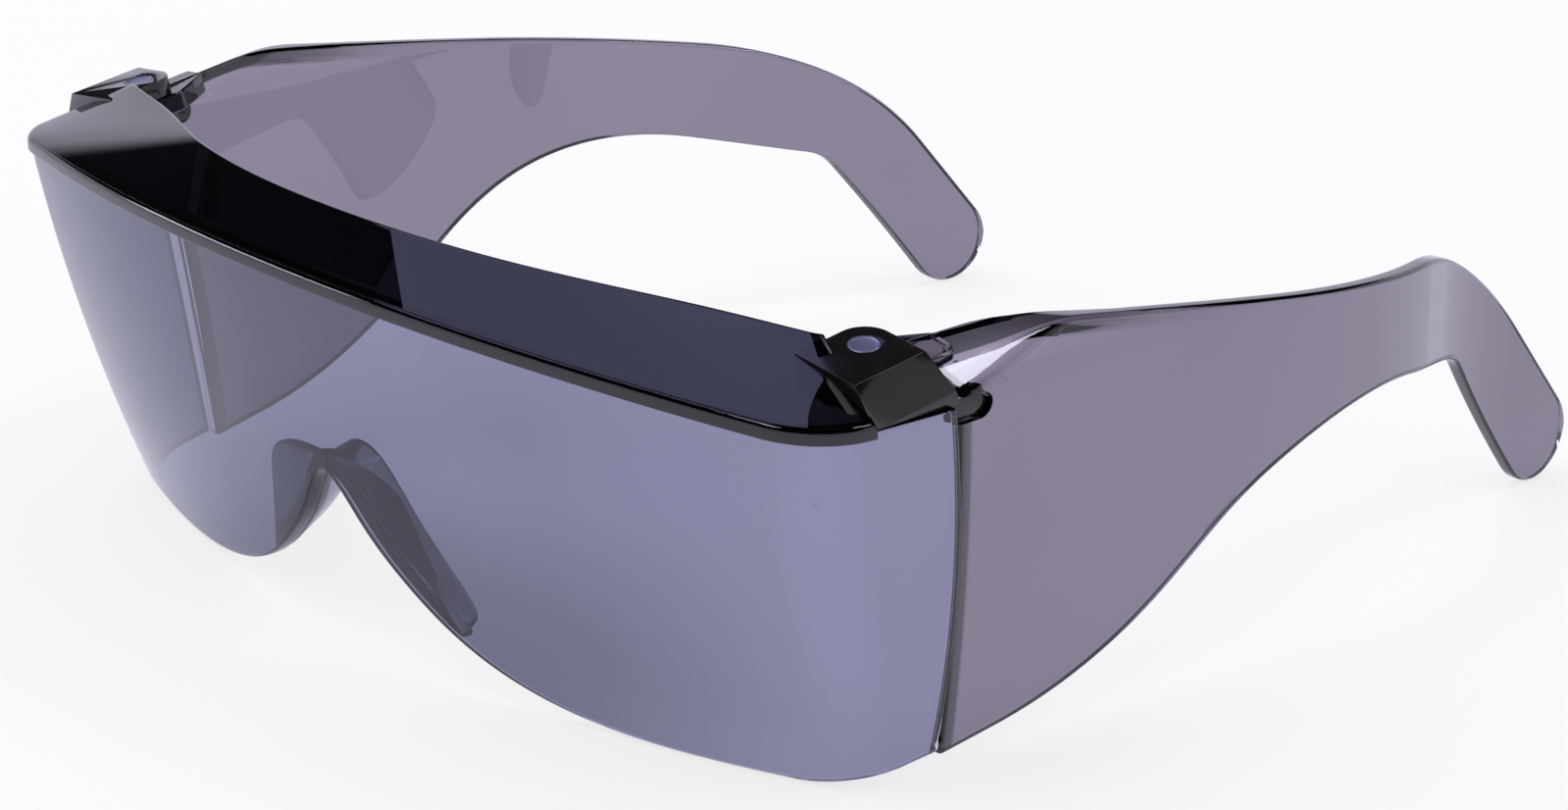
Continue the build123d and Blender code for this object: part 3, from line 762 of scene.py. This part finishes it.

# %% [markdown]
# Wall and arm are one grid. Its columns run from the front edge to the tip, closer together at both ends,
# and its rows run round the wall's cross-section, up the outer side and down the inner side. The arm is
# the same wall with a flange along its top: there the inner side is moved in, most of all near the hinge.
# Each point also carries a painted shade, a darker tint at the flange's top and at the front edge, where one
# sees far into the plastic.

# %% The temples


def make_temple(name, side):
    """Closed grid of the temple: at each column the wall's profile between the lower and the top outline."""
    wall = 2.2
    edge_round = 0.55
    start = 16.9
    length = tip_centre[0] + tip_radius - start
    along = np.concatenate([
        np.array([0.0, 0.02, 0.08, 0.18, 0.33, 0.55]) / length,
        np.linspace(0.8, 4.4, 19) / length,
        np.linspace(0.038, 0.94, 170),
        0.94 + 0.06 * np.sin(np.linspace(0, pi / 2, 40))[1:],
    ])
    v, extra, depth = wall_profile(wall, edge_round, 70)
    inner = (depth > wall / 2).astype(float)
    base = np.repeat((start + length * along)[:, None], len(v), 1)
    front_distance = base - start
    # The front edge's shape fades out of the columns over the first 25 mm
    stay = 1 - ease(np.clip(front_distance / 25, 0, 1))
    pull = end_pull(front_distance, edge_round)
    low_y = base + stay * (temple_front(np.full_like(base, 0.8), inner) - start)
    low = np.interp(low_y, low_line[:, 0], low_line[:, 1])
    top = np.interp(base, top_line[:, 0], top_line[:, 1])
    for _ in range(6):
        top_y = base + stay * (temple_front(top, inner) - start)
        top = np.interp(top_y, top_line[:, 0], top_line[:, 1])
    top = top - crown_drop(top_y) * (1 - inner)
    tall = top - low
    # The rounds flatten where the tip is less tall than they are
    shrink = np.clip(tall / (2.2 * edge_round), 0, 1)
    z = low + v * tall + (extra + (1 - 2 * v) * pull) * shrink
    front = temple_front(z, inner)
    y = base + stay * (front - start)
    slope = np.interp(y, plan_y, plan_slope)
    size = np.sqrt(1 + slope**2)
    outer = outer_x(y, z)
    # The flange is whole in the top 1.4 mm and fades out over the next 1.4 mm
    rise = ease(np.clip((z - top) / 1.4 + 2.0, 0, 1))
    wall_inner = outer - wall * size
    flange_inner = np.minimum(np.minimum(arm_inner_x(y, front), outer - 1.4), wall_inner)
    inner_x = wall_inner + (flange_inner - wall_inner) * rise
    x = np.where(inner > 0, inner_x + (wall - depth) * size, outer - depth * size)
    middle = (outer + inner_x) / 2
    x = x + (middle - x) * pull / ((outer - inner_x) / 2)
    points = np.stack([x * side, y + middle_y, z], -1)
    # Painted shade darkens the tint on the top face, the flange's inner side up to y 60 and near the front
    # edge
    top_face = np.zeros(len(v))
    top_face[len(v) // 2 - 2:len(v) // 2 + 2] = 1.0
    flange = inner * rise * np.clip((60.0 - y) / 20.0, 0, 1) * 0.6
    thick = np.maximum(np.maximum(top_face, flange), np.clip((1.9 - front_distance) / 0.5, 0, 1))
    return swept_mesh(name, points, thick.ravel())


temples = {"left": make_temple("temple_shield_left", 1), "right": make_temple("temple_shield_right", -1)}

# %% [markdown]
# The knuckle is a flat plate with a bore for the pin, and its tongue runs back into the arm. Such a plate
# is four rings of points joined up: two round its rim and two round its bore. A small chamfer on the rim
# takes the light.

# %% Knuckle and tongue


def in_hinge(out, back, along):
    """Points in millimetres from their three distances in the plane across the pin."""
    return (pin_place + np.asarray(out)[..., None] * hinge_out + np.asarray(back)[..., None] * hinge_back
            + np.asarray(along)[..., None] * pin_axis)


def resampled(outline, count):
    """The same closed outline with evenly spaced points."""
    closed = np.concatenate([outline, outline[:1]])
    at = run_length(closed)
    place = np.linspace(0, at[-1], count + 1)[:-1]
    return np.stack([np.interp(place, at, closed[:, k]) for k in (0, 1)], 1)


def bored_plate(name, outline, bore, low, high, chamfer, side):
    """A plate across the pin: rim rings with a chamfer above and below, and two rings of the bore."""
    angle = np.arctan2(outline[:, 1], outline[:, 0])
    hole = bore * np.stack([np.cos(angle), np.sin(angle)], 1)
    size = np.linalg.norm(outline, axis=1, keepdims=True)
    small = outline * (1 - chamfer / size)
    loops = [(small, low), (outline, low + chamfer), (outline, high - chamfer), (small, high),
             (hole, high), (hole, low)]
    points = np.stack([in_hinge(*loop.T, np.full(len(loop), level)) for loop, level in loops])
    points = points * (side, 1, 1) + (0, middle_y, 0)
    return build_mesh(name, points.reshape(-1, 3) * mm, grid_faces(len(loops), len(outline), True))


knuckle_radius = 3.7
half_turn = np.linspace(pi, 2 * pi, 60)
knuckle_line = np.concatenate([
    np.array([(knuckle_radius, 9.7), (0.5, 9.7), (-knuckle_radius, knuckle_radius)]),
    knuckle_radius * np.stack([np.cos(half_turn), np.sin(half_turn)], 1),
])
knuckle_line = resampled(knuckle_line, 160)
print("knuckle outline", len(knuckle_line), "points")


def carve(piece, tool, operation):
    """Joins or cuts a piece with another mesh, keeps the result as its mesh and removes the other."""
    step = piece.modifiers.new("cut", "BOOLEAN")
    step.operation = operation
    step.object = tool
    step.solver = "EXACT"
    bpy.context.view_layer.update()
    result = bpy.data.meshes.new_from_object(piece.evaluated_get(bpy.context.evaluated_depsgraph_get()))
    piece.modifiers.clear()
    piece.data = result
    result.set_sharp_from_angle(angle=radians(35))
    bpy.data.objects.remove(tool)
    print(piece.name, operation.lower(), len(result.polygons), "faces")


# %% [markdown]
# The lug behind the block reaches into the temple's front edge, so the temple has a round-ended slot
# there. The slot is cut with a bar of the same shape, a little larger all round.

# %% Slot for the lug


def round_bar(name, start, end, middle, radius, inside, outside):
    """A bar across the temple: a line of points round its side view, once on each side."""
    angle = np.linspace(-pi / 2, pi / 2, 25)
    y = np.concatenate([end - radius + radius * np.cos(angle), np.full(9, start)])
    z = np.concatenate([middle + radius * np.sin(angle), middle + radius * np.linspace(1, -1, 9)])
    x = np.array((inside, inside + 0.3 * (outside - inside), outside))[:, None]
    return swept_mesh(name, np.stack(np.broadcast_arrays(x, y + middle_y, z), -1))


for which, side in (("left", 1), ("right", -1)):
    knuckle = bored_plate("knuckle_" + which, knuckle_line, bore=1.26, low=-4.9, high=-2.3,
                          chamfer=0.2, side=side)
    carve(temples[which], knuckle, "UNION")
    slot = round_bar("slot_" + which, start=11.0, end=18.5, middle=45.05, radius=1.6,
                     inside=66.0 * side, outside=84.0 * side)
    carve(temples[which], slot, "DIFFERENCE")
    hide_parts("temple_" + which)
    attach(temples[which], "temple_" + which)

# %% [markdown]
# The hinge block is right in the CAD model, apart from its sharp edges. A copy of its mesh has its loose
# triangles merged and its flat faces made whole, and a bevel rounds what is left, as the mould would.

# %% Hinge blocks


def rounded_copy(name, node, width):
    """A copy of a CAD node's mesh with whole flat faces and bevelled edges."""
    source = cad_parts[node]
    shape = bmesh.new()
    shape.from_mesh(source.data)
    bmesh.ops.transform(shape, matrix=source.matrix_world, verts=shape.verts)
    bmesh.ops.remove_doubles(shape, verts=shape.verts, dist=0.002 * mm)
    bmesh.ops.dissolve_limit(shape, angle_limit=radians(1.0), verts=shape.verts, edges=shape.edges)
    mesh = bpy.data.meshes.new(name)
    shape.to_mesh(mesh)
    shape.free()
    piece = bpy.data.objects.new(name, mesh)
    bpy.context.scene.collection.objects.link(piece)
    mesh.shade_smooth()
    bevel = piece.modifiers.new("round edges", "BEVEL")
    bevel.width = width * mm
    bevel.segments = 3
    bevel.limit_method = "ANGLE"
    bevel.angle_limit = radians(30)
    bevel.harden_normals = True
    print(name, len(mesh.polygons), "flat faces before the bevel")
    return piece


block_round = 0.32
blocks = {}
for which in ("left", "right"):
    blocks[which] = rounded_copy("block_" + which, "hinge_block_" + which, block_round)
    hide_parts("hinge_block_" + which)
    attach(blocks[which], "front")

# %% [markdown]
# The pin is turned metal: a shank with a flush round head, its top dished by a tenth of a millimetre. A
# turned part is a half profile carried round its axis.

# %% Hinge pins


def make_pin(name, side):
    """Rings about the pin's axis, one for each radius and height of the half profile, closed at both ends."""
    half = np.array([
        (0.02, -0.1), (1.3, -0.1), (1.46, -0.08), (1.56, -0.02), (1.7, 0.0), (1.8, -0.03), (1.87, -0.1),
        (1.9, -0.2), (1.9, -0.88), (1.2, -0.9), (1.2, -6.2), (1.1, -6.35), (0.02, -6.4),
    ])
    angle = np.linspace(0, 2 * pi, 73)[:-1]
    points = in_hinge(np.outer(half[:, 0], np.cos(angle)), np.outer(half[:, 0], np.sin(angle)),
                      half[:, 1:] + np.zeros(len(angle)))
    points = points * (side, 1, 1) + (0, middle_y, 0)
    pin = swept_mesh(name, points)
    pin.data.set_sharp_from_angle(angle=radians(50))
    return pin


pins = {"left": make_pin("pin_left", 1), "right": make_pin("pin_right", -1)}
for which, pin in pins.items():
    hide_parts("hinge_pin_" + which)
    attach(pin, "front")

# %% [markdown]
# The nose piece is a plate behind the lens with a wing that stands back from the opening's edge. Its
# cross-section is an L, deep at the top and shallow at both lower ends, so its six corners are placed at
# each station along the opening's edge, and then rounded.

# %% The nose piece


def lens_back(x, z):
    """The y of the lens's inner face at the front: the front arc, one wall inside."""
    share = z / lens_height
    swell = swell_at(share, lens_wall)
    radius = front_arc_radius(share) + swell
    return front_y(share) - swell + radius - np.sqrt(radius**2 - x**2)


def make_nose():
    """L-profiles from one lower end of the opening, over its top and down to the other end."""
    right = nose_right[nose_right[:, 1] > 7.0]
    at = run_length(right)
    share = np.linspace(-1, 1, 141)
    place = np.abs(share) * at[-1]
    edge = np.stack([np.interp(place, at, right[:, 0]), np.interp(place, at, right[:, 1])], 1)
    # The plate's outer edge: its x and z in millimetres at shares of the way from the top to a lower end
    rim_at = np.array([0, 0.1, 0.22, 0.34, 0.46, 0.6, 0.78, 0.92, 1.0])
    rim_x = np.array([0, 4.5, 9.3, 12.3, 13.7, 15.0, 16.8, 18.1, 18.9])
    rim_z = np.array([26.0, 26.0, 25.2, 22.9, 19.4, 15.6, 11.0, 8.3, 7.3])
    table = np.stack([rim_at, rim_x, rim_z], 1)
    rim = table_values(table, share)
    edge[:, 0] *= np.where(share < 0, -1, 1)
    tangent = np.gradient(edge, axis=0)
    normal = np.stack([-tangent[:, 1], tangent[:, 0]], 1)
    normal /= np.linalg.norm(normal, axis=1, keepdims=True)
    # The wing's depth runs as a half ellipse from end to end
    wing = 2.0 + 3.6 * np.sqrt(1 - share**2)
    plate = 1.2
    # Distance out from the edge, share of the way to the rim, and depth behind the lens
    places = ((0, 0, 0.05), (0, 1, 0.05), (0, 1, plate), (2.0, 0, plate), (2.9, 0, wing), (1.7, 0, wing))
    corners = []
    for out, rim_share, deep in places:
        flat = edge * (1 - rim_share) + rim * rim_share + normal * out
        corners.append(np.stack([flat[:, 0], lens_back(flat[:, 0], flat[:, 1]) + deep, flat[:, 1]], 1))
    rings = round_profile(np.stack(corners, 1), (0.3, 0.4, 0.4, 0.8, 0.5, 0.5), 5)
    return swept_mesh("nose_piece_moulding", rings + (0, middle_y, 0))


nose = make_nose()
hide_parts("nose_piece")
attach(nose, "front")

# %% [markdown]
# Tinted polycarbonate, as moulded lenses are: an IOR of 1.585 and a surface as smooth as its polished
# mould. The tint is absorbed along the way, so one layer is pale and two are darker. The colour given to
# the absorption is what is left over after a long way, so it is a deeper one than the eye sees. Lens,
# brow, temples and nose piece have a tint each: bluish, nearly black, mauve and grey. The nose piece is a
# little blurred, as a matt mould makes it.

# %% Tinted polycarbonate


def tinted_polycarbonate(name, tint, depth_tint, density, roughness):
    """Clear plastic with absorption by depth, faint flow marks in its colour, and a painted shade.

    The painted shade is the U of a UV map: 0 on a piece that has none, and 1 where a tenth of the tint is
    left.
    """
    material = bpy.data.materials.new(name)
    material.use_nodes = True
    tree = material.node_tree
    tree.nodes.clear()
    place = add_node(tree, "ShaderNodeTexCoord")
    # 30 waves a metre are flow marks about 33 mm long, and the detail adds ones of half that length
    flow = add_node(tree, "ShaderNodeTexNoise", None, Vector=place.outputs["Object"], Scale=30.0, Detail=1.0)
    shade = add_node(tree, "ShaderNodeMapRange", None, Value=flow.outputs["Fac"],
                     From_Min=0.25, From_Max=0.75, To_Min=0.90, To_Max=1.0)
    # Painted shade: the UV map's U darkens the tint down to a tenth, and multiplies the flow marks
    depth = add_node(tree, "ShaderNodeUVMap", {"uv_map": "thick"})
    depth = add_node(tree, "ShaderNodeSeparateXYZ", None, Vector=depth.outputs["UV"])
    deep = add_node(tree, "ShaderNodeMapRange", None, Value=depth.outputs["X"], To_Min=1.0, To_Max=0.10)
    shade = add_node(tree, "ShaderNodeMath", {"operation": "MULTIPLY"}, i0=shade.outputs["Result"],
                     i1=deep.outputs["Result"])
    scaled = add_node(tree, "ShaderNodeVectorMath", {"operation": "SCALE"},
                      i0=linear(tint)[:3], Scale=shade.outputs[0])
    skin = add_node(tree, "ShaderNodeBsdfPrincipled", None,
                    Base_Color=scaled.outputs[0], Roughness=roughness, IOR=1.585)
    skin.inputs["Transmission Weight"].default_value = 1.0
    body = add_node(tree, "ShaderNodeVolumeAbsorption", None, Color=linear(depth_tint), Density=density)
    add_node(tree, "ShaderNodeOutputMaterial", None, Surface=skin.outputs[0], Volume=body.outputs[0])
    return material


lens_plastic = tinted_polycarbonate("tinted_polycarbonate_lens", "#f4f4ff", "#71719b", 620.0, 0.0)
brow_plastic = tinted_polycarbonate("tinted_polycarbonate_brow", "#54546a", "#202030", 1500.0, 0.0)
temple_plastic = tinted_polycarbonate("tinted_polycarbonate_temple", "#fbf6ff", "#5d3660", 620.0, 0.0)
nose_plastic = tinted_polycarbonate("tinted_polycarbonate_nose", "#b4b4c4", "#505068", 300.0, 0.12)
lens.data.materials.append(lens_plastic)
brow.data.materials.append(brow_plastic)
nose.data.materials.append(nose_plastic)
for piece in temples.values():
    piece.data.materials.append(temple_plastic)
print("four tints of polycarbonate")

# %% [markdown]
# The blocks are the same plastic in black, glossy, with a faint unevenness of the mould that bends the
# lines of light. The pins are steel, turned to a flush head: fine rings about the pin's axis that blur
# what it mirrors.

# %% Black plastic and turned steel
black = bpy.data.materials.new("black_polycarbonate")
black.use_nodes = True
tree = black.node_tree
skin = tree.nodes["Principled BSDF"]
place = add_node(tree, "ShaderNodeTexCoord")
# 400 waves a metre are soft dents 2.5 mm long, a hundredth of a millimetre deep
dents = add_node(tree, "ShaderNodeTexNoise", None, Vector=place.outputs["Object"], Scale=400.0, Detail=2.0)
coal = add_node(tree, "ShaderNodeMix", {"data_type": "RGBA"}, i0=dents.outputs["Fac"],
                i6=linear("#100f11"), i7=linear("#1d1a1b"))
polish = add_node(tree, "ShaderNodeMapRange", None, Value=dents.outputs["Fac"], To_Min=0.04, To_Max=0.16)
bend = add_node(tree, "ShaderNodeBump", None, Height=dents.outputs["Fac"], Strength=0.4, Distance=0.00001)
tree.links.new(coal.outputs[2], skin.inputs["Base Color"])
tree.links.new(polish.outputs["Result"], skin.inputs["Roughness"])
tree.links.new(bend.outputs[0], skin.inputs["Normal"])


def turned_steel(name, side):
    """Steel with turning rings about the pin's axis: 0.12 mm apart, in its colour, roughness and bump."""
    material = bpy.data.materials.new(name)
    material.use_nodes = True
    tree = material.node_tree
    skin = tree.nodes["Principled BSDF"]
    centre = (pin_place * (side, 1, 1) + (0, middle_y, 0)) * mm
    lean = Vector(pin_axis * (side, 1, 1)).to_track_quat("Z", "Y").to_euler()
    place = add_node(tree, "ShaderNodeTexCoord")
    local = add_node(tree, "ShaderNodeMapping", {"vector_type": "TEXTURE"}, Vector=place.outputs["Object"],
                     Location=centre, Rotation=lean)
    # A wave's rings are 0.314 of a metre apart at scale 1, so 2600 makes them 0.12 mm apart
    rings = add_node(tree, "ShaderNodeTexWave", {"wave_type": "RINGS", "rings_direction": "Z"},
                     Vector=local.outputs[0], Scale=2600.0, Distortion=0.3)
    sheen = add_node(tree, "ShaderNodeMix", {"data_type": "RGBA"}, i0=rings.outputs["Fac"],
                     i6=linear("#a3a6c4"), i7=linear("#c9cbe4"))
    blur = add_node(tree, "ShaderNodeMapRange", None, Value=rings.outputs["Fac"], To_Min=0.38, To_Max=0.5)
    groove = add_node(tree, "ShaderNodeBump", None, Height=rings.outputs["Fac"],
                      Strength=0.3, Distance=0.00001)
    skin.inputs["Metallic"].default_value = 1.0
    tree.links.new(sheen.outputs[2], skin.inputs["Base Color"])
    tree.links.new(blur.outputs["Result"], skin.inputs["Roughness"])
    tree.links.new(groove.outputs[0], skin.inputs["Normal"])
    return material


for which, side in (("left", 1), ("right", -1)):
    blocks[which].data.materials.clear()
    blocks[which].data.materials.append(black)
    pins[which].data.materials.append(turned_steel("turned_steel_" + which, side))
print("materials:", [material.name for material in bpy.data.materials])
